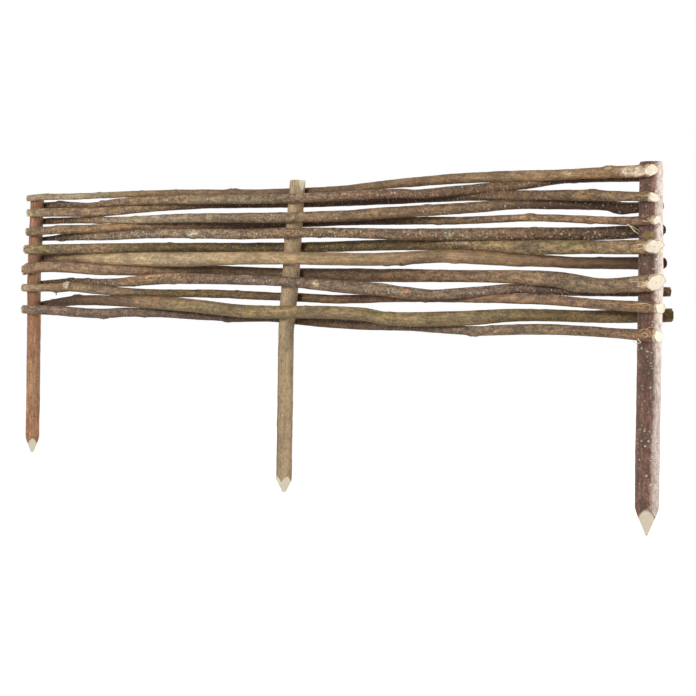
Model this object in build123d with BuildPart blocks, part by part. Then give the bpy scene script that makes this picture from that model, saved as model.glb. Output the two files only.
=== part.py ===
from build123d import *
from math import atan, atan2, cos, radians, sin
import os

os.makedirs("parts", exist_ok=True)

# Woven hazel bed edging: three pointed stakes and thirteen rods woven in and out of them.
# The origin is on the middle stake's axis at soil level. X runs along the edging to the
# right, +Y is away from whoever looks at its face, and Z is up. Sizes are in millimetres.

# Sizes of the panel
left_bay = 570          # axis of the left stake to the middle stake
right_bay = 574         # axis of the right stake to the middle stake
outer_leg = 236         # soil level to the tips of the two outer stakes
middle_leg = 244        # soil level to the tip of the middle stake
seat_gap = 0.25         # air between a rod and the stake that it bears on
head_chamfer = 1.2      # worn edge round the sawn head of a stake

# A bay is measured as a share of its length, from the middle stake to an outer one. A rod
# changes sides at the crossing, so that is where it lies on the rod below.
crossing = 0.66
places = (-1, -0.8, -0.45, 0, 0.33, crossing, 0.83, 1)
thick_places = (-1, -0.5, 0, 0.5, 1)

# Rods from the bottom one up. "thick" is the diameter at the left stake, in the left bay,
# at the middle stake, in the right bay and at the right stake. "slack" is the air under
# the rod at the eight places, less than nothing where two rods lie on opposite sides.
# "past" is the length left past the outer stakes, and "slant" how far the end cuts turn
# to the viewer, or away from it where it is less than nothing.
rods = {
    13: dict(thick=(15.5, 14, 12, 12.5, 14.5), slack=(9.5, 6.5, 9.5, 6.5, 2.5, 3.5, 8.5, 4),
             past=(6.5, 22.5), slant=(5, 20)),
    12: dict(thick=(13.5, 19, 19.5, 19.5, 17), slack=(-7.5, 7, 0.5, -3, -2, 3, 1.5, 8),
             past=(30, 18), slant=(4, -31)),
    11: dict(thick=(14, 13.5, 13.5, 12, 13.5), slack=(16, 5, 0.5, 5.5, 11.5, 7, 2.5, -4),
             past=(7.5, 24), slant=(7, 32)),
    10: dict(thick=(11.5, 17, 15, 14, 12), slack=(-5, -3.5, 8, 11.5, -5.5, 1.5, 2.5, 6),
             past=(24, 16.5), slant=(8, -31)),
    9: dict(thick=(18, 15, 14.5, 17, 19.5), slack=(10.5, 9, -2, -3, 8.5, 2, -6, -7),
            past=(4.5, 18.5), slant=(9, 34)),
    8: dict(thick=(14, 21, 19.5, 17.5, 16), slack=(4.5, 1, 0, 4, 6.5, 5.5, 7, 9),
            past=(28, 6), slant=(3, -45)),
    7: dict(thick=(15.5, 15.5, 14, 14.5, 17.5), slack=(-1.5, 0.5, 1, 0.5, 4, 0.5, 3.5, 2.5),
            past=(4, 15.5), slant=(8, 45)),
    6: dict(thick=(9, 14, 15, 16.5, 16), slack=(8, 7.5, 7, 5.5, -0.5, 1, 2.5, 5),
            past=(20, 5), slant=(3, -45)),
    5: dict(thick=(14, 12, 12, 11, 10.5), slack=(-1, 1, 0.5, 3.5, 5.5, 6, 4, -3),
            past=(1.5, 17), slant=(6, 28)),
    4: dict(thick=(11, 13, 14.5, 14.5, 13), slack=(8, 2.5, -1, -6, -3.5, 5.5, 7, 7),
            past=(26, 4), slant=(7, -45)),
    3: dict(thick=(14.5, 14, 13, 13, 12.5), slack=(0, -0.5, 8, 9.5, 8, 0.5, -1.5, -2.5),
            past=(1, 13.5), slant=(8, 36)),
    2: dict(thick=(12, 12, 14, 12.5, 10), slack=(2, 2, -1.5, -10, -6.5, 1.5, 11, 16),
            past=(22, 3), slant=(5, -45)),
    1: dict(thick=(11, 11, 12, 13.5, 15), slack=(0, 3, -1, -1, 5, 2, -8, -8),
            past=(6, 10), slant=(9, 34)),
}

# Stakes. "thick" and "lean" are the diameter and the sideways drift at four even steps from
# soil level to the head. "turn" is the bearing of the first of the four facets of the point.
levels = (0, 1 / 3, 2 / 3, 1)
stakes = {
    "left_stake": dict(side=-1, x=-left_bay, leg=outer_leg, point=32, turn=-40, head=0.5,
                       thick=(23.6, 23.6, 23.4, 23.3), lean=(0, -1.5, 1, 4)),
    "middle_stake": dict(side=0, x=0, leg=middle_leg, point=32, turn=-29, head=11,
                         thick=(23.6, 26, 24.8, 23), lean=(0, 6.5, 12, 18)),
    "right_stake": dict(side=1, x=right_bay, leg=outer_leg, point=38, turn=-69, head=5.5,
                        thick=(29.6, 30, 29.3, 28.8), lean=(0, 0.5, -0.5, -1)),
}


def between(values, marks, at):
    """Value at one mark, on straight lines between the given ones."""
    for low, high, start, end in zip(marks, marks[1:], values, values[1:]):
        if at <= high:
            return start + (end - start) * (at - low) / (high - low)
    return values[-1]


def bow(share):
    """Sideways travel of a springy rod, from the middle stake (0) to an outer one (1)."""
    return 1.5 * share ** 2 - 0.5 * share ** 3


# Heights: each rod lies on the one below, and the slack is added
radius, height = {}, {}
top_of_pile = [0] * len(places)
for number, rod in rods.items():
    radius[number] = [between(rod["thick"], thick_places, place) / 2 for place in places]
    height[number] = [top + slack + r for top, slack, r
                      in zip(top_of_pile, rod["slack"], radius[number])]
    top_of_pile = [h + r for h, r in zip(height[number], radius[number])]

# Heads: each stake stands a little above the top rod
for stake in stakes.values():
    stake["top"] = top_of_pile[places.index(stake["side"])] + stake["head"]


def stake_at(stake, z):
    """Axis position along the panel and radius of a stake at one height over the soil."""
    level = max(0, z) / stake["top"]
    return (stake["x"] + between(stake["lean"], levels, level),
            between(stake["thick"], levels, level) / 2)


# Stakes: a straight round leg, a gently bent upper part and a point of four axe cuts
for name, stake in stakes.items():
    leg_radius = stake["thick"][0] / 2
    tip = (stake["x"], 0, -stake["leg"])
    with BuildPart() as stake_part:
        with BuildSketch(Plane.XY.offset(-stake["leg"])):
            with Locations((stake["x"], 0)):
                Circle(leg_radius)
        extrude(amount=stake["leg"])
        for quarter in range(4):
            bearing = radians(stake["turn"] + 90 * quarter)
            facing = (cos(bearing) * stake["point"], sin(bearing) * stake["point"], -leg_radius)
            split(bisect_by=Plane(origin=tip, z_dir=facing), keep=Keep.BOTTOM)
        for level, lean, thick in zip(levels, stake["lean"], stake["thick"]):
            with BuildSketch(Plane.XY.offset(level * stake["top"])):
                with Locations((stake["x"] + lean, 0)):
                    Circle(thick / 2)
        loft(ruled=True)
        chamfer(stake_part.edges().group_by(Axis.Z)[-1], head_chamfer)
    stake_part.part.label = name
    export_step(stake_part.part, f"parts/{name}.step")


def rod_line(number):
    """Centre line of one rod as (x, y, z, radius) at each place along it."""
    side = -1 if number % 2 else 1      # odd rods pass in front of the outer stakes
    posts = []
    for stake in stakes.values():
        spot = places.index(stake["side"])
        posts.append((*stake_at(stake, height[number][spot]), radius[number][spot]))
    (left_x, left_stake_r, left_r), (mid_x, mid_stake_r, mid_r), (right_x, right_stake_r, right_r) = posts
    mid_out = mid_stake_r + seat_gap + mid_r
    line = []
    for place, z, r in zip(places, height[number], radius[number]):
        if place < 0:
            far_x, far_stake_r, far_r = left_x, left_stake_r, left_r
        else:
            far_x, far_stake_r, far_r = right_x, right_stake_r, right_r
        swing = mid_out + far_stake_r + seat_gap + far_r
        angle = atan(1.5 * swing / abs(far_x - mid_x))      # a rod passes an outer stake at this angle
        far_out = (far_stake_r + seat_gap) / cos(angle) + far_r
        x = mid_x + abs(place) * (far_x - mid_x)
        y = side * (-mid_out + (mid_out + far_out) * bow(abs(place)))
        line.append((x, y, z, r))
    return line


def run_on(inner, outer, length):
    """Where a rod's line and taper come to when they run straight on past an outer stake."""
    share = length / abs(outer[0] - inner[0])
    return tuple(b + (b - a) * share for a, b in zip(inner, outer))


def end_cut(inner, outer, past, slant):
    """Centre, heading and two radii of the cut end of a rod, its face turned by the slant."""
    x, y, z, r = run_on(inner, outer, past)
    way = 1 if outer[0] > inner[0] else -1
    heading = atan2(way * (outer[1] - inner[1]), abs(outer[0] - inner[0]))
    return (x, y, z), heading - way * radians(slant), r * cos(heading) / cos(radians(slant)), r


# Rods: round sections along the line between two slanted cuts
for number, rod in rods.items():
    line = rod_line(number)
    cuts = [end_cut(inner, outer, past, slant) for inner, outer, past, slant
            in zip((line[1], line[-2]), (line[0], line[-1]), rod["past"], rod["slant"])]
    sections = [cuts[0], *(((x, y, z), 0, r, r) for x, y, z, r in line[1:-1]), cuts[1]]
    with BuildPart() as rod_part:
        for centre, heading, wide, tall in sections:
            across = (-sin(heading), cos(heading), 0)
            along = (cos(heading), sin(heading), 0)
            with BuildSketch(Plane(origin=centre, x_dir=across, z_dir=along)):
                Ellipse(wide, tall)
        loft(ruled=True)
    rod_part.part.label = f"rod_{number:02d}"
    export_step(rod_part.part, f"parts/rod_{number:02d}.step")
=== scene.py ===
import random
from math import atan2, cos, exp, hypot, pi, radians, sin, tau

import bmesh
import bpy
from mathutils import Matrix, Vector, noise


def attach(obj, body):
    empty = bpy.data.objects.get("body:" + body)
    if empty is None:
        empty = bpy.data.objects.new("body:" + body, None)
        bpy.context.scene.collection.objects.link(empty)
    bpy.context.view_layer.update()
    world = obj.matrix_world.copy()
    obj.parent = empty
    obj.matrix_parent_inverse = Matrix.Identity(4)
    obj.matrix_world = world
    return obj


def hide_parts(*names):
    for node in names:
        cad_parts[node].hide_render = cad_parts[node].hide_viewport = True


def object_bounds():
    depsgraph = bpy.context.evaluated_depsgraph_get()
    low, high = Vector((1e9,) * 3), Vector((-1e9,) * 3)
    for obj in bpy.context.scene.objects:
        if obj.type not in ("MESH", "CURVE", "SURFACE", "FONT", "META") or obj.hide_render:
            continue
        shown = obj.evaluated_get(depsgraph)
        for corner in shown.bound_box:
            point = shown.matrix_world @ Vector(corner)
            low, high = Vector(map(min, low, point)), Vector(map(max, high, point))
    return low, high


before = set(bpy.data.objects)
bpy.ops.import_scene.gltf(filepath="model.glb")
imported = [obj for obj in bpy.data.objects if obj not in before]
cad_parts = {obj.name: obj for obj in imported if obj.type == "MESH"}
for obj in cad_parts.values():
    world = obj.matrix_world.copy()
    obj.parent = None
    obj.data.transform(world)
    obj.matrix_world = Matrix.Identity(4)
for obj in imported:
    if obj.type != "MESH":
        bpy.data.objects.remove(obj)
cadLow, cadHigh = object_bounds()      # the CAD box, before anything is added
mm = 0.001
print("frame loaded,", len(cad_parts), "nodes")

# Bark and wood colours, as they look on a screen under plain light
paints = {
    "blackBrown": (48, 32, 20), "darkBrown": (84, 59, 38), "brown": (116, 88, 60),
    "midBrown": (142, 112, 81), "tan": (160, 130, 93), "warmTan": (170, 131, 91),
    "paleTan": (194, 164, 122), "beige": (204, 176, 137), "greyTan": (180, 157, 124),
    "greyBrown": (150, 126, 97), "pinkTan": (166, 133, 101), "redBrown": (143, 107, 80),
    "purpleBrown": (110, 84, 68), "purpleGrey": (134, 109, 90), "oliveTan": (154, 130, 91),
    "oliveBrown": (122, 99, 62), "darkOlive": (102, 83, 43), "moss": (134, 120, 68),
    "mossDark": (90, 79, 31), "paleGreen": (168, 158, 118), "orange": (186, 120, 70),
    "rust": (152, 88, 47), "porePale": (206, 182, 150), "poreWhite": (240, 226, 206),
    "scar": (224, 194, 160), "peeled": (224, 206, 172), "cream": (250, 238, 216),
    "ring": (232, 206, 166), "rot": (158, 122, 80), "innerBark": (140, 102, 59),
    # silver is painted light: the highlight on the lit side of the right stake
    "fibre": (244, 222, 190), "goldFibre": (204, 157, 94), "silverPaintedLight": (226, 208, 196),
    "foxBrown": (174, 116, 82), "sand": (188, 160, 124), "plum": (112, 80, 66),
    "copper": (196, 146, 112), "tipCream": (255, 243, 216), "tipRing": (255, 230, 196),
}


def paint(name):
    # screen value to the linear one that a socket takes
    return tuple((v / 255 / 12.92 if v < 10.3 else ((v / 255 + 0.055) / 1.055) ** 2.4)
                 for v in paints[name]) + (1,)


class Wire:
    # a socket that can be used in sums
    def __init__(self, tree, socket=None):
        self.tree, self.socket = tree, socket

    def node(self, kind, settings=None, inputs=None, output=0):
        made = self.tree.nodes.new(kind)
        for key, value in (settings or {}).items():
            if key == "stops":
                ramp = made.color_ramp
                while len(ramp.elements) < len(value):
                    ramp.elements.new(1)
                for element, (position, colour) in zip(ramp.elements, value):
                    element.position, element.color = position, colour
            else:
                setattr(made, key, value)
        for key, value in (inputs or {}).items():
            if isinstance(value, Wire):
                self.tree.links.new(value.socket, made.inputs[key])
            else:
                made.inputs[key].default_value = value
        return Wire(self.tree, made.outputs[output])

    def maths(self, operation, first, second=0.0):
        return self.node("ShaderNodeMath", {"operation": operation}, {0: first, 1: second})

    def __add__(self, other):
        return self.maths("ADD", self, other)

    __radd__ = __add__

    def __mul__(self, other):
        return self.maths("MULTIPLY", self, other)

    __rmul__ = __mul__

    def __sub__(self, other):
        return self.maths("SUBTRACT", self, other)

    def __rsub__(self, other):
        return self.maths("SUBTRACT", other, self)

    def step(self, low, high, start=0.0, end=1.0):
        # smooth change from start to end between two values
        return self.node("ShaderNodeMapRange", {"interpolation_type": "SMOOTHSTEP"},
                         {"Value": self, "From Min": low, "From Max": high, "To Min": start, "To Max": end})

    def vector(self, operation, other=(0, 0, 0)):
        key = "Scale" if operation == "SCALE" else 1
        output = 1 if operation in ("LENGTH", "DOT_PRODUCT") else 0
        return self.node("ShaderNodeVectorMath", {"operation": operation}, {0: self, key: other}, output)

    def mixed(self, share, other, blend="MIX"):
        return self.node("ShaderNodeMix", {"data_type": "RGBA", "blend_type": blend},
                         {0: share, 6: self, 7: other}, 2)

    def noise(self, scale, detail=3.0, rough=0.6, output="Fac"):
        return self.node("ShaderNodeTexNoise", {}, {"Vector": self, "Scale": scale, "Detail": detail,
                                                    "Roughness": rough}, output)

    def cells(self, scale, output="Distance"):
        return self.node("ShaderNodeTexVoronoi", {}, {"Vector": self, "Scale": scale}, output)

    def axis(self, output):
        return self.node("ShaderNodeSeparateXYZ", {}, {0: self}, output)

    def ramp(self, stops):
        return self.node("ShaderNodeValToRGB", {"stops": stops}, {"Fac": self})

    def attribute(self, name, output):
        return self.node("ShaderNodeAttribute", {"attribute_name": name}, {}, output)


def newMaterial(name):
    material = bpy.data.materials.new(name)
    material.use_nodes = True
    shader = material.node_tree.nodes["Principled BSDF"]
    return material, shader, Wire(material.node_tree)


def finishMaterial(shader, start, colour, rough, height, depth):
    bump = start.node("ShaderNodeBump", {}, {"Height": height, "Distance": depth, "Strength": 1.0})
    for key, wire in (("Base Color", colour), ("Roughness", rough), ("Normal", bump)):
        start.tree.links.new(wire.socket, shader.inputs[key])


# Every piece carries "straight", its own coordinates before it was bent: metres along it,
# across it and up, so that bark runs along the wood.

def barkMaterial(name, look, low, high):
    material, shader, start = newMaterial(name)
    seed = Vector((look.get("seed", 0) * 1.37, 0, 0))
    place = start.attribute("straight", "Vector")
    along = place.axis("X")
    moved = place.vector("ADD", seed)
    cloud = moved.vector("MULTIPLY", (0.5, 1, 1)).noise(34, 4, 0.62)
    mottle = moved.vector("MULTIPLY", (0.45, 1, 1)).noise(170, 5, 0.7)
    grit = moved.vector("MULTIPLY", (0.7, 1, 1)).noise(430, 4, 0.75)
    streak = moved.vector("MULTIPLY", (0.05, 1, 1)).noise(330, 4, 0.7)
    warped = moved.vector("ADD", moved.noise(330, 3, 0.7, "Color").vector("SCALE", 0.0035))

    # tones along the length, with wandering borders
    reach = high - low
    stops = [((x * mm - low) / reach, paint(tone)) for x, tone in look["tones"]]
    share = (along + (cloud - 0.5) * 0.13 - low) * (1 / reach)
    colour = share.ramp(stops)
    second = moved.vector("MULTIPLY", (0.3, 1, 1)).noise(19, 5, 0.66)
    for number, (tone, amount) in enumerate(look.get("patches", ())):
        spread = second if number == 0 else moved.vector("MULTIPLY", (0.22, 1.2, 1.2)).noise(27, 5, 0.7)
        colour = colour.mixed(spread.step(0.66 - amount * 0.3, 0.78 - amount * 0.2) * 0.8, paint(tone))

    # marks that the photo shows: scars, knots, peeled and mossy places
    ragged = moved.noise(210, 5, 0.72)
    raised = 0.0
    for x, turn, length, width, radius, tone in look.get("marks", ()):
        facing = radians(turn)
        middle = Vector((x, -radius * cos(facing), radius * sin(facing))) * mm
        spread = (1000 / length, 1000 / width, 1000 / width)
        off = place.vector("SUBTRACT", middle).vector("MULTIPLY", spread)
        inside = (off.vector("LENGTH") + (ragged - 0.5) * 1.1).step(0.36, 0.66, 1, 0)
        colour = colour.mixed(inside * 0.88, paint(tone))
        raised = inside + raised
    # shading of the bark itself
    depth, streaks = look["mottle"], look.get("streaks", 0.16)
    value = mottle.step(0.4, 0.6, 1 - depth * 1.5, 1 + depth * 1.3)
    value = value * grit.step(0.4, 0.6, 1 - depth * 1.2, 1 + depth)
    value = value * streak.step(0.4, 0.6, 1 - streaks, 1 + streaks) * cloud.step(0.38, 0.62, 0.8, 1.15)
    colour = colour.vector("SCALE", value)
    for gap, torn in ((along - low, look["torn"][0]), (high - along, look["torn"][1])):
        rim = (gap + (ragged - 0.5) * 0.014).step((torn + 4) * mm, (torn + 6) * mm, 1, 0)
        colour = colour.mixed(rim * 0.75, paint("fibre"))
    if "paintedLitSide" in look:
        # painted light on a stake's lit side: a paler broad band at one turn, stronger from one height up
        # where the light falls stronger
        turn, width, bottom, top, tone, amount = look["paintedLitSide"]
        facing = radians(turn)
        side = place.vector("DOT_PRODUCT", (0, -cos(facing) * 1000, sin(facing) * 1000))
        side = side + (ragged - 0.5) * 5 + (cloud - 0.5) * 5
        # the painted highlight is weaker where the bark's own mottle is darker
        strength = along.step(bottom * mm, top * mm, amount * 0.8, amount) * value.step(0.5, 1.0, 0.6, 1)
        colour = colour.mixed(side.step(width - 3, width + 2) * strength, paint(tone))

    # dark flecks and cracks
    fleck = moved.vector("MULTIPLY", (0.6, 1, 1)).noise(260, 3, 0.75).step(0.55, 0.64)
    colour = colour.mixed(fleck * look.get("flecks", 0.5), paint("blackBrown"))

    # pores: small pale dots, and sparser bright ones
    height = mottle * 0.5 + streak * 0.25 + grit * 0.3 - fleck * 0.3 + raised * 0.3
    for spacing, size, amount, tone in look["pores"]:
        spread = warped.vector("MULTIPLY", (1.0, 0.8, 0.8))
        spot = spread.cells(1000 / spacing)
        drawn = spread.cells(1000 / spacing, "Color").axis("X")          # a number for each pore
        chosen = drawn.step(1 - amount - 0.05, 1 - amount + 0.15)
        reach = size / spacing
        mask = spot.step(reach * 0.3, reach * 0.9, 1, 0) * chosen * grit.step(0.3, 0.55, 0.35, 1)
        colour = colour.mixed(mask * 0.9, paint(tone))
        height = height + mask * 0.8

    finishMaterial(shader, start, colour, mottle.step(0.3, 0.7, 0.58, 0.8), height, 0.0011)
    return material


def cutMaterial(name, light, dark, radius=None):
    material, shader, start = newMaterial(name)
    place = start.attribute("straight", "Vector")
    out = place.vector("MULTIPLY", (0, 1, 1)).vector("LENGTH")
    if radius:
        depth = out * (1 / radius)        # a stake's point, cut from a straight leg
    else:
        depth = start.attribute("depth", "Fac")
    waver = place.noise(160, 4, 0.65)
    ringWave = start.maths("SINE", (out + (waver - 0.5) * 0.0016) * (tau / 0.0017))
    grain = place.vector("MULTIPLY", (0.06, 1, 1)).noise(520, 4, 0.7)
    rays = place.vector("MULTIPLY", (0.4, 1, 1)).noise(1100, 3, 0.7)
    tone = ringWave.step(-1.0, 0.6) * 0.5 + grain.step(0.3, 0.65) * 0.5
    colour = tone.ramp([(0.0, paint(dark)), (0.5, paint(light))])
    dirt = place.noise(95, 5, 0.7).step(0.5, 0.7)
    colour = colour.mixed(dirt * (0.12 if radius else 0.3), paint("rot"))
    edge = (depth + (waver - 0.5) * 0.06).step(0.9, 0.95)
    colour = colour.mixed(edge * 0.5, paint("innerBark"))
    skin = (depth + (waver - 0.5) * 0.05).step(0.955, 0.99) * place.noise(300, 3, 0.6).step(0.42, 0.56)
    colour = colour.mixed(skin, paint("darkBrown"))
    pith = depth.step(0.06, 0.16, 1, 0)
    colour = colour.mixed(pith * 0.45, paint("orange"))
    colour = colour.vector("SCALE", rays.step(0.3, 0.7, 0.9, 1.04))
    finishMaterial(shader, start, colour, grain.step(0.3, 0.7, 0.62, 0.78),
                   grain * 0.6 + rays * 0.3 + ringWave * 0.12, 0.0006)
    return material


def plainMaterial(name, tone, dark, scale=500, lowest=0.3):
    # torn fibre or moss: two tones broken up by noise
    material, shader, start = newMaterial(name)
    place = start.attribute("straight", "Vector")
    grain = place.noise(scale, 4, 0.7)
    colour = grain.ramp([(lowest, paint(dark)), (lowest + 0.3, paint(tone))])
    finishMaterial(shader, start, colour, grain.step(0.3, 0.7, 0.65, 0.85), grain * 1.0, 0.0005)
    return material


def easedLine(marks, values):
    # smooth line through some values, which never swings past them
    steps = [b - a for a, b in zip(marks, marks[1:])]
    slopes = [(d - c) / h for c, d, h in zip(values, values[1:], steps)]
    tilts = [slopes[0]]
    for a, b, h, k in zip(slopes, slopes[1:], steps, steps[1:]):
        tilts.append(0 if a * b <= 0 else 3 * (h + k) / ((2 * k + h) / a + (k + 2 * h) / b))
    tilts.append(slopes[-1])

    def at(mark):
        mark = min(max(mark, marks[0]), marks[-1])
        spot = max(i for i in range(len(steps)) if marks[i] <= mark or i == 0)
        t = (mark - marks[spot]) / steps[spot]
        return (values[spot] * (1 + 2 * t) * (1 - t) ** 2 + values[spot + 1] * t * t * (3 - 2 * t)
                + steps[spot] * (tilts[spot] * t * (1 - t) ** 2 + tilts[spot + 1] * t * t * (t - 1)))
    return at


def nodeCopy(name):
    # a copy of a CAD node's mesh, so that the node itself stays as it is
    copied = bmesh.new()
    copied.from_mesh(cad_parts[name].data)
    return copied


def sectionsOf(name, axis, gap):
    # the round sections of a CAD node, in order along one axis, as lists of their corners
    copied = nodeCopy(name)
    bmesh.ops.remove_doubles(copied, verts=copied.verts, dist=0.01 * mm)
    points = sorted((vert.co.copy() for vert in copied.verts), key=lambda p: p[axis])
    copied.free()
    groups = [[points[0]]]
    for point in points[1:]:
        if point[axis] - groups[-1][-1][axis] > gap:
            groups.append([])
        groups[-1].append(point)
    return groups


def middleOf(points):
    return Vector([(min(p[k] for p in points) + max(p[k] for p in points)) / 2 for k in range(3)])


def roundWood(segments, rings, insets=(0.07, 0.18, 0.25, 0.25)):
    # a closed cylinder of radius 1 and length 1 along Z, with rings, and steps in its two ends
    bm = bmesh.new()
    bmesh.ops.create_cone(bm, cap_ends=True, segments=segments, radius1=1, radius2=1, depth=1)
    long = [e for e in bm.edges if abs(e.verts[0].co.z - e.verts[1].co.z) > 0.5]
    bmesh.ops.subdivide_edges(bm, edges=long, cuts=rings)
    for cap in [f for f in bm.faces if len(f.verts) > 4]:
        cap.material_index = 1
        for step in insets:
            bmesh.ops.inset_region(bm, faces=[cap], thickness=step, use_even_offset=True)
        bmesh.ops.poke(bm, faces=[cap])
    for face in bm.faces:
        face.smooth = True
        if abs(face.normal.z) > 0.5:
            face.material_index = 1
    return bm


barkBumps = ((24, 0.45), (85, 0.3), (230, 0.16))       # how fine they are, and how high in mm


def barkRelief(along, front, up, radius, seed, knots):
    # how far the bark stands out from a plain round rod, in metres
    spot = Vector((along, front * radius, up * radius)) + Vector((seed * 3.1, seed * 1.7, 0))
    rise = sum(noise.noise(spot * fine) * high for fine, high in barkBumps) * mm
    turn = atan2(up, front)
    for x, facing, size in knots:
        off = abs(along - x * mm)
        if off < 3.5 * size * mm:
            arc = (turn - radians(facing) + pi) % tau - pi
            arc = arc * radius / (size * mm)
            off = off / (size * mm)
            rise += size * mm * (0.34 * exp(-(off / 1.15) ** 2 - (arc / 0.85) ** 2)
                                 - 0.2 * exp(-(off / 0.36) ** 2 - (arc / 0.36) ** 2))
    return rise


def linked(name, data):
    made = bpy.data.objects.new(name, data)
    bpy.context.scene.collection.objects.link(made)
    return made


def piece(name, bm, materials, node=None):
    bmesh.ops.recalc_face_normals(bm, faces=bm.faces)
    if bm.calc_volume(signed=True) < 0:                # the whole shell came out inside out
        bmesh.ops.reverse_faces(bm, faces=bm.faces)
    for edge in bm.edges:
        if len({face.material_index for face in edge.link_faces}) == 2:     # bark meets a cut
            edge.smooth = False
    mesh = bpy.data.meshes.new(name)
    bm.to_mesh(mesh)
    bm.free()
    made = linked(name, mesh)
    for material in materials:
        mesh.materials.append(material)
    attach(made, "root")
    if node:
        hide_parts(node)
    return made


# Rods. x is in mm from the middle stake. "lift" and "swell" move and thicken a rod a little
# between its crossings. A turn of 0 faces the viewer, 90 is the top and -90 the underside. A
# knot is x, turn and size. A mark is x, turn, length, width, radius of its middle and colour.

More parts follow.
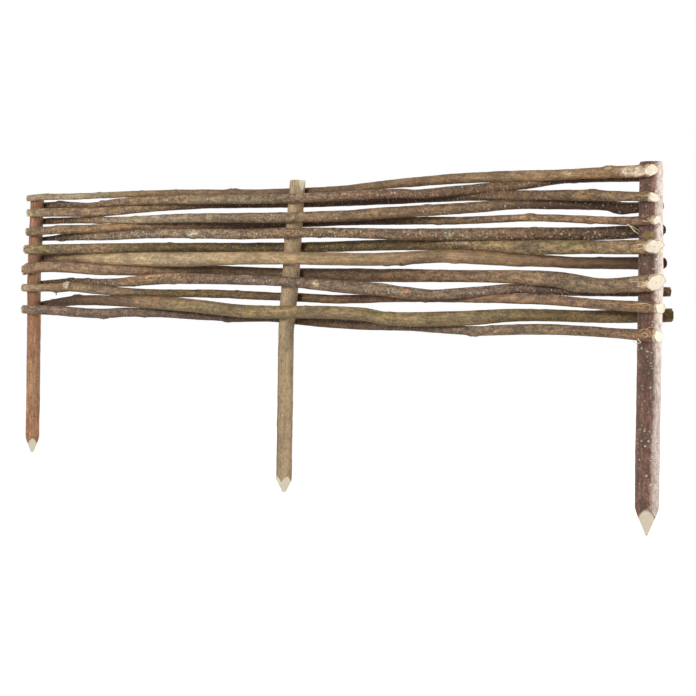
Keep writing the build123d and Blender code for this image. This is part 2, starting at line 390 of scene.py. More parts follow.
rodRings, rodSegments = 440, 36
rods = {
    1: dict(
        lift=((-540, 0), (-450, -4), (-295, -2.5), (-190, -2.5), (25, 1), (105, -1), (260, -2),
              (395, -5.5), (485, -1), (580, 0.5)),
        swell=((-540, 0), (-360, -0.5), (-190, 0.7), (155, -0.5), (360, 1.2), (485, -1), (580, 1)),
        knots=((-122, 80, 8), (-405, 60, 5), (300, 20, 5), (525, 75, 6)),
        tilt=0.3, slot="bark_tan",
        look=dict(
            tones=((-600, "greyTan"), (-420, "greyTan"), (-330, "tan"), (-200, "midBrown"),
                   (0, "brown"), (180, "midBrown"), (360, "tan"), (600, "warmTan")),
            patches=(("paleGreen", 0.25), ("greyBrown", 0.25)), mottle=0.2, flecks=0.35,
            pores=((4.2, 1.4, 0.5, "porePale"),),
            marks=((565, -8, 43, 15, 7.2, "tipRing"), (528, 40, 12, 6, 7.2, "paleTan"),
                   (468, 10, 14, 7, 6.9, "beige"), (-390, 20, 30, 8, 5.6, "paleGreen"),
                   (-322, 0, 10, 8, 5.8, "warmTan")))),
    2: dict(
        lift=((-565, 0.5), (-525, -0.5), (-425, -6.5), (-360, -3), (-210, -4), (0, 0.5), (145, 0.5),
              (210, -0.5), (240, -3.5), (365, -2.4), (390, -2.5), (445, 0), (550, -0.5)),
        swell=((-565, -0.5), (-525, 0.5), (-305, 1), (-165, 1.5), (0, 0), (210, 0.5), (360, 1.5),
               (550, 0)),
        knots=((-520, 75, 8), (-402, 45, 7), (-30, 20, 5), (410, 40, 8)),
        slot="bark_speckled",
        look=dict(
            tones=((-600, "brown"), (-450, "brown"), (-300, "tan"), (-60, "greyBrown"),
                   (120, "redBrown"), (330, "brown"), (600, "brown")),
            patches=(("greyTan", 0.2), ("darkBrown", 0.25)), mottle=0.3,
            pores=((3.4, 1.6, 0.8, "porePale"), (5.5, 2, 0.5, "poreWhite")),
            marks=((-402, 40, 6, 6, 6.5, "scar"), (410, 35, 14, 9, 6.3, "oliveTan")))),
    3: dict(
        lift=((-565, 0.5), (-490, -0.5), (-400, -3.5), (-275, -2), (-150, 0.5), (20, -0.5), (295, 0.5),
              (395, -2.5), (485, -0.5), (590, 0.5)),
        swell=((-565, -0.5), (-400, 1.5), (-315, 0), (-230, -0.5), (350, 1), (485, 1), (565, -0.5),
               (590, 0.5)),
        knots=((-455, 10, 7), (502, 50, 7), (-260, 30, 5)),
        tilt=-0.4, slot="bark_purple",
        look=dict(
            tones=((-600, "greyTan"), (-500, "pinkTan"), (-330, "tan"), (-210, "midBrown"),
                   (-120, "darkBrown"), (60, "brown"), (200, "darkBrown"), (330, "brown"),
                   (480, "midBrown"), (600, "tan")),
            patches=(("purpleGrey", 0.3), ("darkBrown", 0.25)), mottle=0.28,
            pores=((3.8, 1.5, 0.6, "porePale"), (6, 1.8, 0.4, "poreWhite")),
            marks=((502, 30, 16, 12, 6.3, "oliveBrown"), (578, 25, 16, 9, 6.2, "oliveTan")))),
    4: dict(
        lift=((-565, 0.5), (-355, -3), (-165, 0), (110, -1), (210, 1.5), (335, -1), (375, 0.1),
              (500, 0), (520, -1), (530, -2), (580, 2)),
        swell=((-565, 0), (-355, -1), (-255, 0.5), (230, 1.3), (335, 0.7), (390, -1), (500, -0.5),
               (525, 1), (580, -0.5)),
        knots=((-409, 10, 9), (525, -60, 9), (-20, 20, 5), (141, 20, 4), (-240, 10, 6)),
        slot="bark_grey",
        look=dict(
            tones=((-600, "brown"), (-480, "brown"), (-400, "greyBrown"), (-280, "greyTan"),
                   (-100, "greyBrown"), (200, "midBrown"), (340, "midBrown"), (420, "darkBrown"),
                   (600, "darkBrown")),
            patches=(("greyTan", 0.2), ("tan", 0.25)), mottle=0.26,
            pores=((4.4, 1.6, 0.6, "porePale"), (6, 1.9, 0.5, "poreWhite")),
            marks=((141, 28, 7, 5, 7.2, "orange"), (-407, 15, 9, 8, 6, "oliveTan")))),
    5: dict(
        lift=((-570, 0.5), (-445, -2.8), (-315, -1), (-190, -1), (-110, -2), (45, 0.4), (85, 1.4),
              (240, -0.2), (295, -1.4), (425, 0), (540, -1), (590, 1.5)),
        swell=((-570, 0), (-400, 1.5), (-315, 0.5), (-100, 0.7), (195, 0), (395, -1), (540, -0.5),
               (590, 1)),
        knots=((-490, 10, 8), (410, 60, 6), (260, -50, 5), (545, 10, 6)),
        tilt=0.35, slot="bark_olive",
        look=dict(
            tones=((-600, "greyBrown"), (-500, "tan"), (-400, "warmTan"), (-300, "midBrown"),
                   (-180, "brown"), (-60, "darkBrown"), (160, "darkBrown"), (240, "oliveBrown"),
                   (320, "midBrown"), (400, "tan"), (600, "redBrown")),
            patches=(("oliveTan", 0.3), ("darkOlive", 0.2)), mottle=0.3, flecks=0.5,
            pores=((4, 1.5, 0.5, "porePale"),),
            marks=((-490, 5, 12, 8, 6.7, "paleTan"), (582, 40, 12, 7, 5, "oliveTan"),
                   (586, -15, 10, 6, 5, "goldFibre")))),
    6: dict(
        lift=((-565, 0), (-410, -2.5), (-255, 0), (-80, -1.5), (75, 1.5), (305, -1.4), (440, -1.2),
              (580, 0.3)),
        swell=((-565, -1.5), (-535, -0.5), (-515, 2), (-255, 0.7), (-35, 1), (110, -1), (400, 1.2),
               (525, 1), (580, -1)),
        knots=((-512, -40, 7), (-175, 5, 5), (291, 0, 7), (60, 25, 5)),
        slot="bark_speckled",
        look=dict(
            tones=((-600, "blackBrown"), (-520, "darkBrown"), (-420, "greyBrown"), (-180, "greyBrown"),
                   (0, "midBrown"), (300, "midBrown"), (420, "brown"), (600, "darkBrown")),
            patches=(("purpleGrey", 0.25), ("darkBrown", 0.3)), mottle=0.34,
            pores=((3.2, 1.6, 0.8, "porePale"), (5, 2.2, 0.6, "poreWhite")),
            marks=((-175, 5, 27, 14, 7.6, "peeled"), (291, -5, 11, 15, 8.5, "paleGreen")))),
    7: dict(
        lift=((-575, 1), (-445, -2.5), (-315, -0.5), (15, 0.5), (295, 0), (395, -2), (485, 0), (590, 0)),
        swell=((-575, 0.5), (-445, 1.8), (-150, 0.3), (120, 1.8), (295, 0.2), (425, 3), (515, 0.2),
               (590, 0.5)),
        knots=((310, 40, 6), (425, -30, 8), (-250, 60, 5)),
        tilt=0.25, slot="bark_olive",
        look=dict(
            tones=((-600, "greyTan"), (-540, "oliveTan"), (-420, "tan"), (-330, "oliveBrown"),
                   (-200, "darkOlive"), (80, "darkOlive"), (230, "oliveBrown"), (300, "tan"),
                   (430, "oliveTan"), (600, "tan")),
            patches=(("moss", 0.24), ("darkOlive", 0.25)), mottle=0.3, flecks=0.45,
            pores=((3.6, 1.5, 0.5, "porePale"),),
            marks=((300, 25, 44, 6, 7.3, "scar"), (478, 30, 40, 10, 7.8, "moss"),
                   (-530, 20, 50, 9, 7, "moss"), (585, 0, 14, 14, 8, "scar")))),
    8: dict(
        lift=((-565, 0.2), (-500, 0), (-405, -2.4), (-300, -0.6), (-205, -1), (-35, 0.5), (95, -0.3),
              (145, -1), (215, 0.2), (245, 2.1), (275, 3), (365, -1), (390, -2.5), (440, 0),
              (475, 0.5), (585, 0.5)),
        swell=((-565, 1), (-465, 0.9), (-405, 0.8), (-205, 1.8), (-75, -0.5), (365, 0.5), (445, -1),
               (585, 0)),
        knots=((218, -60, 6), (298, -75, 5), (-120, 30, 5)),
        slot="bark_tan",
        look=dict(
            tones=((-600, "brown"), (-520, "midBrown"), (-420, "paleTan"), (-180, "beige"),
                   (0, "paleTan"), (200, "tan"), (330, "tan"), (430, "midBrown"), (500, "brown"),
                   (600, "darkBrown")),
            patches=(("pinkTan", 0.3), ("oliveTan", 0.25)), mottle=0.15, flecks=0.25,
            pores=((5, 1.3, 0.4, "porePale"),),
            marks=((310, -5, 46, 12, 8.8, "pinkTan"), (218, -50, 6, 6, 9, "darkBrown"),
                   (298, -60, 4, 4, 8.8, "scar"), (-360, 20, 40, 8, 9.6, "beige")))),
    9: dict(
        lift=((-575, -2.5), (-560, 1), (-525, 2), (-400, -2.5), (-230, -1), (-150, 2), (15, -0.5),
              (140, 0), (195, 0.8), (395, -1.5), (455, 1.5), (515, -3), (590, 3)),
        swell=((-575, -0.5), (-400, 2.6), (-300, 1.4), (-70, -1), (120, 4), (330, -0.5), (485, 2),
               (515, 0), (590, 1)),
        knots=((-558, 60, 7), (480, -60, 9), (325, 0, 6), (540, 10, 7)),
        tilt=0.4, slot="bark_purple",
        look=dict(
            tones=((-600, "pinkTan"), (-400, "pinkTan"), (-300, "midBrown"), (-200, "brown"),
                   (120, "brown"), (260, "midBrown"), (380, "pinkTan"), (480, "greyBrown"),
                   (600, "pinkTan")),
            patches=(("purpleGrey", 0.3), ("darkBrown", 0.25)), mottle=0.25,
            pores=((4.2, 1.4, 0.5, "porePale"),),
            marks=((570, 40, 26, 7, 9.6, "paleTan"), (582, -10, 16, 8, 9.6, "scar")))),
    10: dict(
        lift=((-570, -0.5), (-495, 1), (-355, -4.5), (-205, 1), (40, -1.5), (180, 4), (215, 0.5),
              (275, -4.5), (335, -3), (395, 0.5), (475, -1.5), (590, 0.5)),
        swell=((-570, 0), (-405, -1.5), (-255, 1), (-35, -1), (115, 3.2), (150, 4.3), (180, 3.6),
               (275, 0.5), (590, 0)),
        knots=((-485, 70, 7), (230, 10, 7), (76, 10, 5), (-250, 60, 6)),
        slot="bark_speckled",
        look=dict(
            tones=((-600, "darkBrown"), (-480, "darkBrown"), (-370, "midBrown"), (-240, "tan"),
                   (-100, "purpleGrey"), (60, "purpleGrey"), (230, "greyBrown"), (340, "purpleGrey"),
                   (460, "purpleBrown"), (600, "oliveBrown")),
            patches=(("pinkTan", 0.2), ("darkBrown", 0.3)), mottle=0.3,
            pores=((3.6, 1.5, 0.7, "porePale"), (6, 2.2, 0.5, "poreWhite")),
            marks=((-265, 35, 110, 6, 8, "copper"), (76, 0, 12, 15, 8, "beige"),
                   (228, 5, 15, 11, 7.6, "copper")))),
    11: dict(
        lift=((-580, 0), (-490, 0), (-470, 1.5), (-400, -2), (-355, -2.5), (-145, 2), (10, 0.5),
              (85, -1.5), (230, 1), (425, 1.5), (515, -1), (590, 0.5)),
        swell=((-580, 0), (-525, 0), (-470, 2.5), (-230, -0.5), (300, 0), (425, 1), (545, -0.5),
               (590, 1)),
        knots=((-466, 25, 10), (-500, -80, 5), (420, 60, 6), (120, 0, 5)),
        slot="bark_grey",
        look=dict(
            tones=((-600, "greyTan"), (-500, "tan"), (-380, "greyBrown"), (-280, "oliveBrown"),
                   (-120, "oliveBrown"), (60, "brown"), (180, "redBrown"), (600, "pinkTan")),
            patches=(("oliveBrown", 0.3), ("purpleBrown", 0.2)), mottle=0.24,
            pores=((4.2, 1.4, 0.5, "porePale"),),
            marks=((-468, 25, 15, 13, 9.2, "copper"), (-470, 25, 14, 14, 9.4, "tipRing"),
                   (-460, 22, 5, 6, 9, "darkBrown"), (572, 15, 50, 3, 6.7, "goldFibre")))),
    12: dict(
        lift=((-570, -1), (-495, -2.5), (-405, -0.5), (-205, 1), (-75, -1.5), (115, 4.5), (150, 4),
              (200, -1.5), (305, -1), (395, 2), (500, -1), (590, 1)),
        swell=((-570, 0), (-470, 1.5), (-350, 0.3), (-205, 1.5), (150, -1), (305, 1), (420, -2),
               (590, 0.5)),
        knots=((-467, 80, 9), (-249, 55, 8), (198, 40, 8), (262, -10, 5)),
        slot="bark_olive",
        look=dict(
            tones=((-600, "darkBrown"), (-500, "darkBrown"), (-380, "brown"), (-300, "midBrown"),
                   (-150, "oliveTan"), (200, "oliveTan"), (330, "oliveTan"), (440, "oliveBrown"),
                   (600, "oliveBrown")),
            patches=(("moss", 0.16), ("greyBrown", 0.25)), mottle=0.22, flecks=0.35,
            pores=((4, 1.4, 0.5, "porePale"),),
            marks=((-249, 42, 26, 11, 11.2, "redBrown"), (-246, 42, 13, 7, 11.4, "orange"),
                   (-84, 25, 16, 10, 9.7, "moss"), (-50, 28, 22, 11, 9.7, "moss"),
                   (262, -5, 3, 3, 9.5, "blackBrown"), (180, 30, 50, 8, 9.6, "moss")))),
    13: dict(
        lift=((-575, -1), (-490, 1), (-400, -1), (-335, 1.4), (-120, -1.5), (-45, 2), (50, 0),
              (195, 1.5), (322, -0.9), (395, 2), (485, -1), (590, 1)),
        swell=((-575, -0.5), (-490, 1.5), (-85, -0.5), (125, 1.8), (230, -1), (395, 1), (545, -1.5),
               (590, 1)),
        knots=((-392, -80, 6), (395, 30, 6), (322, -80, 7), (-130, -70, 6)),
        tilt=-0.2, slot="bark_purple",
        look=dict(
            tones=((-600, "greyTan"), (-540, "purpleGrey"), (-380, "purpleGrey"),
                   (-200, "purpleBrown"), (-60, "darkBrown"), (80, "brown"), (260, "purpleGrey"),
                   (390, "greyBrown"), (600, "redBrown")),
            patches=(("pinkTan", 0.2), ("purpleBrown", 0.3)), mottle=0.28,
            pores=((3.6, 1.5, 0.7, "porePale"),),
            marks=((395, 30, 10, 7, 6.6, "redBrown"), (580, 0, 20, 8, 6.6, "warmTan")))),
}

seats = [sectionsOf(name, 2, 0.4 * mm)[0][0].x for name in ("left_stake", "middle_stake", "right_stake")]
# in mm: how far the bark stays back from the CAD at the ends and by the outer stakes, how ragged
# the cuts are, and over what length an end slants and wears
trim = dict(ends=0.3, outside=1.3, ragged=2.6, slant=28, worn=20)
buds = dict(first=(40, 90), spacing=(70, 150), size=(3, 4.5))      # small ones, at random places
lines = {}      # where each finished rod runs, for what sits on it


def buildRod(number, rod, cut):
    node = f"rod_{number:02d}"
    groups = sectionsOf(node, 0, 25 * mm)
    middles = [middleOf(points) for points in groups]
    marks = [m.x for m in middles]
    yLine, zLine = (easedLine(marks, [m[k] for m in middles]) for k in (1, 2))
    rLine = easedLine(marks, [(max(p.z for p in g) - min(p.z for p in g)) / 2 for g in groups])
    lift = easedLine([x * mm for x, _ in rod["lift"]], [v * mm for _, v in rod["lift"]])
    swell = easedLine([x * mm for x, _ in rod["swell"]], [v / 2 * mm for _, v in rod["swell"]])
    left, right = marks[0] + trim["ends"] * mm, marks[-1] - trim["ends"] * mm
    outer = 1 if number % 2 else -1         # the side of the outer stakes that it passes
    wear = 0.42 if number % 2 else 0.12     # how uneven its ends are

    def centre(x):
        free = min(1, min(abs(x - seat) for seat in seats) / 0.06)
        sway = noise.noise(Vector((x * 8, number * 5.3, 0.5))) * 0.8 * mm * free
        return Vector((x, yLine(x) + sway, zLine(x) + lift(x)))

    def framing(x):
        way = (centre(x + 2 * mm) - centre(x - 2 * mm)).normalized()
        side = Vector((way.y, -way.x, 0)).normalized()      # towards the viewer
        up = side.cross(way)
        return centre(x), way, side, up if up.z > 0 else -up, rLine(x) + swell(x)
    lines[number] = framing

    # the slope of each end cut, read from the node: how far x changes with y
    slantReach = trim["slant"] * mm
    slopes = []
    for points, middle in ((groups[0], middles[0]), (groups[-1], middles[-1])):
        offsets = [p - middle for p in points]
        slopes.append(sum(o.x * o.y for o in offsets) / sum(o.y ** 2 for o in offsets))

    draw = random.Random(number)
    knots = list(rod["knots"])
    x = left / mm + draw.uniform(*buds["first"])
    while x < right / mm - 30:
        knots.append((x, draw.uniform(-180, 180), draw.uniform(*buds["size"])))
        x += draw.uniform(*buds["spacing"])

    bm = roundWood(rodSegments, rodRings)
    straight = bm.verts.layers.float_vector.new("straight")
    depth = bm.verts.layers.float.new("depth")
    rings = {}
    for vert in bm.verts:
        share = round(vert.co.z + 0.5, 6)
        if share not in rings:
            along = left + share * (right - left)
            here, way, side, up, radius = framing(along)
            slant = 0
            for slope, gap in zip(slopes, (along - left, right - along)):
                lean = (slope * way.x + way.y) / (way.x - slope * way.y)
                slant -= (1 - min(1, gap / slantReach)) ** 2 * lean
            end = max(0, 1 - min(along - left, right - along) / (trim["worn"] * mm)) ** 2
            tilt = (1 - min(1, (right - along) / slantReach)) ** 2 * rod.get("tilt", 0)
            near = max(0, min(1, (abs(along) - 0.5) / 0.05)) * trim["outside"] * mm
            rings[share] = (along, here, way, side, up, slant, tilt, radius, near, end)
        along, here, way, side, up, slant, tilt, radius, near, end = rings[share]
        out = hypot(vert.co.x, vert.co.y)
        front, rise = (vert.co.x / out, vert.co.y / out) if out > 1e-5 else (1, 0)
        swollen = radius + barkRelief(along, front, rise, radius, number, knots)
        uneven = noise.noise(Vector((front * 1.6, rise * 1.6, number * 1.9 + share)))
        swollen -= abs(uneven) * wear * radius * end
        across, lifted = front * out * swollen, rise * out * swollen
        across -= outer * max(0, front * outer) * out * near
        rim = abs(noise.noise(Vector((front * 2.2, rise * 2.2, number + share * 4))))
        rim *= trim["ragged"] * mm * out ** 3
        ragged = rim if share == 0 else -rim if share == 1 else 0
        shift = slant * across + tilt * lifted
        vert.co = here + side * across + up * lifted + way * (shift + ragged)
        vert[straight] = (along + shift, -across, lifted)
        vert[depth] = out
    look = dict(rod["look"], seed=number, torn=(3, 6) if number % 2 else (0, -14))
    bark = barkMaterial(f"hazelBark{number:02d}", look, left - 5 * mm, right + 5 * mm)
    return piece(f"hazelRod{number:02d}", bm, [bark, cut], node)


rodCut = cutMaterial("cutEnds", "cream", "ring")
for number, rod in rods.items():
    buildRod(number, rod, rodCut)
print("thirteen rods woven")


# Stakes. Here x is the height in mm over the soil, and a turn of 90 is the right side.

stakeRings, stakeSegments = 210, 56
# Each stake's paintedLitSide is painted light: a paler band of the given tone on the side that the lamps
# light
stakes = {
    "left_stake": dict(
        seed=31, blunt=2, slot="stake_bark_red", radius=11.8,
        knots=((-60, 20, 8), (-150, 60, 7), (110, 10, 7)),
        look=dict(
            tones=((-236, "foxBrown"), (-120, "warmTan"), (0, "foxBrown"), (120, "redBrown"),
                   (225, "foxBrown")),
            patches=(("orange", 0.14), ("brown", 0.3)), mottle=0.2, flecks=0.35, streaks=0.3,
            paintedLitSide=(62, 10.8, -400, -300, "copper", 0.5), pores=((3.8, 1.4, 0.5, "scar"),))),
    "middle_stake": dict(
        seed=32, blunt=2.2, slot="stake_bark_grey", radius=11.8, flake=(80, 42, 2.8),
        knots=((-150, 30, 8), (40, 30, 8), (140, -20, 8), (-40, 70, 6)),
        look=dict(
            tones=((-244, "oliveTan"), (-100, "oliveTan"), (60, "greyBrown"), (150, "pinkTan"),
                   (225, "sand")),
            patches=(("greyTan", 0.3), ("greyBrown", 0.15)), mottle=0.17, flecks=0.3, streaks=0.22,
            paintedLitSide=(34, 8.6, -400, -300, "beige", 0.62),
            pores=((3.6, 1.4, 0.6, "scar"), (5, 1.6, 0.4, "poreWhite")))),
    "right_stake": dict(
        seed=33, blunt=1, slot="stake_bark_dark", radius=14.8,
        knots=((-120, 10, 9), (60, 40, 9), (-30, 60, 8), (150, -30, 8)),
        look=dict(
            tones=((-236, "plum"), (-100, "plum"), (50, "plum"), (225, "plum")),
            patches=(("redBrown", 0.2), ("darkBrown", 0.25)), mottle=0.26, flecks=0.35, streaks=0.24,
            # painted highlight: the right stake's lit right side in pale silver, at full strength from 40
            # mm up
            paintedLitSide=(88, 11.5, -60, 40, "silverPaintedLight", 0.95),
            pores=((4.4, 1.7, 0.5, "porePale"), (6, 2, 0.5, "poreWhite")))),
}


def cutAway(bm, point, facing):
    # slices off what lies beyond a plane, and closes the cut with wood
    everything = bm.verts[:] + bm.edges[:] + bm.faces[:]
    made = bmesh.ops.bisect_plane(bm, geom=everything, dist=1e-7, plane_co=point, plane_no=facing,
                                  clear_outer=True)
    rim = [e for e in made["geom_cut"] if isinstance(e, bmesh.types.BMEdge) and e.is_boundary]
    for face in bmesh.ops.edgeloop_fill(bm, edges=rim)["faces"]:
        face.material_index, face.smooth = 1, False


def buildStake(name, stake):
    groups = sectionsOf(name, 2, 0.4 * mm)
    tip, top = groups[0][0], groups[-1][0].z
    levels = [g for g in groups if g[0].z > -0.05 * mm][:4]
    middles = [middleOf(points) for points in levels]
    marks = [m.z for m in middles]
    xLine = easedLine(marks, [m.x for m in middles])
    rLine = easedLine(marks, [(max(p.x for p in g) - min(p.x for p in g)) / 2 for g in levels])
    bottom = tip.z - 1 * mm

    bm = roundWood(stakeSegments, stakeRings)
    straight = bm.verts.layers.float_vector.new("straight")
    depth = bm.verts.layers.float.new("depth")
    for vert in bm.verts:
        share = vert.co.z + 0.5
        along = bottom + share * (top - bottom)
        out = hypot(vert.co.x, vert.co.y)
        front, right = (vert.co.x / out, vert.co.y / out) if out > 1e-5 else (1, 0)
        radius = rLine(along)
        swollen = radius + barkRelief(along, front, right, radius, stake["seed"], stake["knots"])
        sway = noise.noise(Vector((along * 9, stake["seed"], 0))) * 0.5 * mm
        ragged = 0
        if share > 0.9999:            # the sawn head has a worn edge, and isn't quite level
            swollen -= 1 * mm
            ragged = noise.noise(Vector((front * 2, right * 2, stake["seed"]))) * 0.4 * mm
        vert.co = Vector((xLine(along) + sway + right * out * swollen, -front * out * swollen,
                          along - abs(ragged) * out))
        vert[straight] = (along, -front * out * swollen, right * out * swollen)
        vert[depth] = out

    # the four cuts of the point, as the node has them
    copied = nodeCopy(name)
    facings = []
    for face in copied.faces:
        atTip = min((v.co - tip).length for v in face.verts) < 0.1 * mm
        if atTip and face.normal.z < -0.1 and all(face.normal.dot(f) < 0.99 for f in facings):
            facings.append(face.normal.copy())
    copied.free()
    for facing in facings:
        aside = Vector((facing.x, facing.y, 0)).normalized() * stake["blunt"] * mm
        cutAway(bm, tip + aside, facing)
    cutAway(bm, tip + Vector((0, 0, 0.2 * mm)), Vector((0, 0, -1)))
    if "flake" in stake:                      # a chip shaved off the head
        turn, length, deep = stake["flake"]
        turn = radians(turn)
        out = Vector((sin(turn), -cos(turn), 0))
        edge = Vector((xLine(top), 0, top - length * mm)) + out * rLine(top)
        cutAway(bm, edge, (out * length + Vector((0, 0, deep))).normalized())
    look = dict(stake["look"], seed=stake["seed"], torn=(-9, -9))
    bark = barkMaterial(name.replace("_stake", "StakeBark"), look, tip.z, top)
    wood = cutMaterial(name.replace("_stake", "StakeWood"), "tipCream", "tipRing", stake["radius"] * mm)
    return piece(name.replace("_stake", "Stake"), bm, [bark, wood], name)


for name, stake in stakes.items():
    buildStake(name, stake)
print("three stakes pointed")


# Torn fibres and snags. A fibre runs through places on a rod, each as x, turn and height over
# the bark, in mm. It is thickest at its first place and tapers to the last.

fibres = {
    "splinter": dict(rod=5, tone="pale", thick=2.1,
        run=((552, -60, -0.5), (556, -68, 2), (561, -75, 7), (567, -80, 11))),
    "splinterFork": dict(rod=5, tone="pale", thick=1.1,
        run=((556, -68, 1.5), (562, -66, 4), (569, -70, 8))),
    "tornStrip": dict(rod=11, tone="gold", thick=1.9,
        run=((558, 18, -0.6), (572, 22, 1.2), (586, 12, 1.4), (594, 4, 0))),
    "tornStripLow": dict(rod=11, tone="pale", thick=1.5,
        run=((570, 30, -0.5), (579, 34, 1.5), (590, 20, 0.8))),
    "curl": dict(rod=13, tone="gold", thick=1.2,
        run=((574, 30, -0.5), (577, 50, 2.5), (584, 46, 4), (590, 22, 2.5), (588, -6, 3.2),
             (580, -22, 1.5))),
    "curlLow": dict(rod=13, tone="pale", thick=1.6,
        run=((571, -40, -0.4), (575, -62, 2.5), (569, -72, 3.5), (563, -66, 2))),
    "curlTop": dict(rod=13, tone="gold", thick=1.7,
        run=((580, 62, -0.5), (583, 76, 2.5), (589, 74, 3.5), (595, 66, 1.5))),
    "curlInner": dict(rod=13, tone="pale", thick=1.1,
        run=((577, 8, -0.4), (582, 22, 2.5), (587, 2, 2.8), (581, -12, 2))),
    "barkShred": dict(rod=3, tone="gold", thick=1.2,
        run=((571, 46, -0.5), (578, 52, 1.2), (586, 46, 1.2))),
    "barkShredEnd": dict(rod=3, tone="pale", thick=1.0,
        run=((578, 8, -0.5), (584, 12, 1.4), (590, 6, 0.8))),
    "shredSeven": dict(rod=7, tone="pale", thick=1.6,
        run=((571, 20, -0.6), (577, 14, 1.4), (586, 4, 0.8))),
    "shredSevenLow": dict(rod=7, tone="pale", thick=1.1,
        run=((573, -14, -0.6), (580, -10, 1.3), (588, -4, 0.8))),
    "shredNine": dict(rod=9, tone="pale", thick=1.1,
        run=((564, 14, -0.5), (572, 14, 0.1), (584, 12, -0.2))),
    "shredNineLow": dict(rod=9, tone="pale", thick=1.2,
        run=((572, -20, -0.5), (579, -28, 0.1), (588, -34, -0.2))),
    "shredFive": dict(rod=5, tone="pale", thick=1.1,
        run=((574, -8, -0.5), (580, -14, 1.3), (588, -10, 0.8))),
    "shredFiveTop": dict(rod=5, tone="gold", thick=1.1,
        run=((573, 44, -0.5), (580, 48, 1.4), (588, 40, 0.8))),
    "curlyHair": dict(rod=10, tone="gold", thick=1.2,
        run=((452, -30, -0.4), (457, -52, 3.5), (463, -30, 4.5), (460, -8, 3), (455, -14, 2.5))),
}
snags = {       # short remains of twigs: rod, x, turn, length, thickness and lean along the rod
    "thorn": (11, -500, -84, 5.5, 3.2, 1.5),
    "twigEnd": (2, -400, 55, 2.5, 3.4, -1),
    "bottomSnag": (13, -392, -88, 2.2, 4.0, 1.0),
}
fibreTones = {"pale": ("fibre", "goldFibre"), "gold": ("goldFibre", "rust"),
              "dark": ("redBrown", "darkBrown")}
fibreLooks = {key: plainMaterial(f"{key}Fibre", *pair, lowest=0.15) for key, pair in fibreTones.items()}


def onRod(number, x, turn, height):
    here, way, side, up, radius = lines[number](x * mm)
    turn = radians(turn)
    return here + (side * cos(turn) + up * sin(turn)) * (radius + height * mm)


def strand(name, points, thick, material, segments=8, rings=22, end=0.25):
    # a tapered, bent round piece through some points in space
    steps = [0.0]
    for a, b in zip(points, points[1:]):
        steps.append(steps[-1] + (b - a).length)
    paths = [easedLine(steps, [p[k] for p in points]) for k in range(3)]
    bm = roundWood(segments, rings, insets=())
    straight = bm.verts.layers.float_vector.new("straight")
    for vert in bm.verts:
        share = vert.co.z + 0.5
        mark = share * steps[-1]
        here = Vector([path(mark) for path in paths])
        way = Vector([path(mark + 0.1 * mm) - path(mark - 0.1 * mm) for path in paths]).normalized()
        side = way.cross(Vector((0.3, 0.2, 1))).normalized()
        wide = thick / 2 * (1 - (1 - end) * share) * (1 + 0.25 * noise.noise(here * 900))
        vert.co = here + (side * vert.co.x + way.cross(side) * vert.co.y) * wide
        vert[straight] = (mark, vert.co.x, vert.co.z)
    for face in bm.faces:
        face.material_index = 0
    return piece(name, bm, [material])


for name, fibre in fibres.items():
    points = [onRod(fibre["rod"], *spot) for spot in fibre["run"]]
    strand(name, points, fibre["thick"] * mm, fibreLooks[fibre["tone"]])
for name, (number, x, turn, length, thick, lean) in snags.items():
    points = [onRod(number, x + lean * share, turn, share * length - 1.5 * (1 - share))
              for share in (0, 0.5, 1)]
    strand(name, points, thick * mm, fibreLooks["dark"], segments=14, end=0.5)

# a knob of moss and bark on the right stake, between the fifth and the seventh rod
knob = dict(place=(2.4, -14.2, 134), size=(8.5, 3.2, 5.4), lumps=0.27)
bm = bmesh.new()
bmesh.ops.create_icosphere(bm, subdivisions=4, radius=1)
straight = bm.verts.layers.float_vector.new("straight")
for vert in bm.verts:
    bumpy = 1 + knob["lumps"] * noise.noise(vert.co * 2.3) + 0.12 * noise.noise(vert.co * 7)
    vert.co = Vector([(p + c * s * bumpy) * mm for p, c, s in zip(knob["place"], vert.co, knob["size"])])
    vert.co.x += seats[2]
    vert[straight] = vert.co
for face in bm.faces:
    face.smooth = True
piece("mossKnob", bm, [plainMaterial("mossBark", "oliveTan", "mossDark", 190)])
print("fibres, snags and moss in place")


# Floor, light and camera

studio = dict(floorDrop=0.5, floorSize=40, floorTone=0.4, floorGlow=0.85, sky=0.17, aim=(0.1, 0, 0.05),
              lamps={"key": ((-0.3, -3.0, 0.9), 0.9, 57), "side": ((1.75, 0.25, 0.3), 0.5, 18),
                     "fill": ((-2.4, -2.6, 0.3), 2.2, 18), "behind": ((0.4, 3.2, 0.6), 1.5, 26)})


def seenDirectly(start):
    # 1 for what the camera sees, also through glass or in a mirror, and 0 for light on its way
    kinds = [start.node("ShaderNodeLightPath", {}, {}, f"Is {kind} Ray")
             for kind in ("Camera", "Glossy", "Transmission")]
    return start.maths("MINIMUM", kinds[0] + kinds[1] + kinds[2], 1.0)


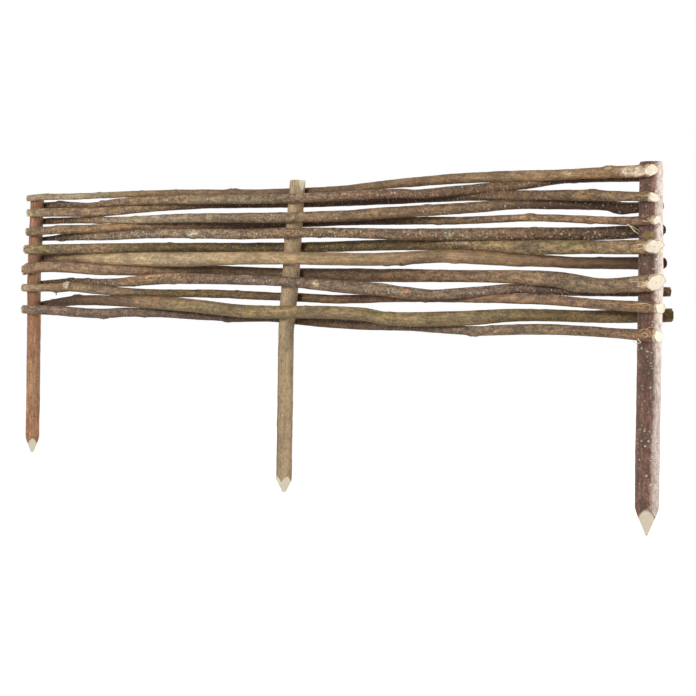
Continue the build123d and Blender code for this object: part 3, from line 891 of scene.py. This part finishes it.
floorMesh = bmesh.new()
bmesh.ops.create_grid(floorMesh, x_segments=1, y_segments=1, size=studio["floorSize"] / 2)
bmesh.ops.translate(floorMesh, verts=floorMesh.verts, vec=(0, 0, cadLow.z - studio["floorDrop"] * mm))
floorData = bpy.data.meshes.new("floor")
floorMesh.to_mesh(floorData)
floorMesh.free()
floor = linked("floor", floorData)
floorPaint, shader, start = newMaterial("paleFloor")
shader.inputs["Base Color"].default_value = (studio["floorTone"],) * 3 + (1,)
shader.inputs["Roughness"].default_value = 0.9
glowing = seenDirectly(start) * studio["floorGlow"]
glow = start.node("ShaderNodeEmission", {}, {"Color": (1, 1, 1, 1), "Strength": glowing})
both = start.node("ShaderNodeAddShader", {}, {0: Wire(start.tree, shader.outputs[0]), 1: glow})
start.tree.links.new(both.socket, start.tree.nodes["Material Output"].inputs["Surface"])
floorData.materials.append(floorPaint)

world = bpy.data.worlds.new("studio")
bpy.context.scene.world = world
world.use_nodes = True
strength = seenDirectly(Wire(world.node_tree)) * (1 - studio["sky"]) + studio["sky"]
backdrop = world.node_tree.nodes["Background"]
backdrop.inputs["Color"].default_value = (1, 1, 1, 1)
world.node_tree.links.new(strength.socket, backdrop.inputs["Strength"])

for lampName, (place, size, power) in studio["lamps"].items():
    data = bpy.data.lights.new(lampName, "AREA")
    data.shape, data.size, data.energy = "DISK", size, power
    lamp = linked(lampName, data)
    lamp.location = place
    lamp.rotation_euler = (Vector(studio["aim"]) - Vector(place)).to_track_quat("-Z", "Y").to_euler()

# Camera, worked out from the photo's perspective on the three stakes
view = dict(place=(1.186, -1.4801, 0.0692), heading=35.89, roll=0.85, lens=65.28, shift=(-0.00136, -0.0919))
cameraData = bpy.data.cameras.new("camera")
cameraData.sensor_width, cameraData.lens = 36, view["lens"]
cameraData.shift_x, cameraData.shift_y = view["shift"]
camera = linked("camera", cameraData)
standing = Matrix.Translation(view["place"])
for angle, axis in ((view["heading"], "Z"), (90, "X"), (view["roll"], "Z")):
    standing = standing @ Matrix.Rotation(radians(angle), 4, axis)
camera.matrix_world = standing
bpy.context.scene.camera = camera
bpy.context.scene.view_settings.view_transform = "Standard"
print("floor, lamps and camera placed")
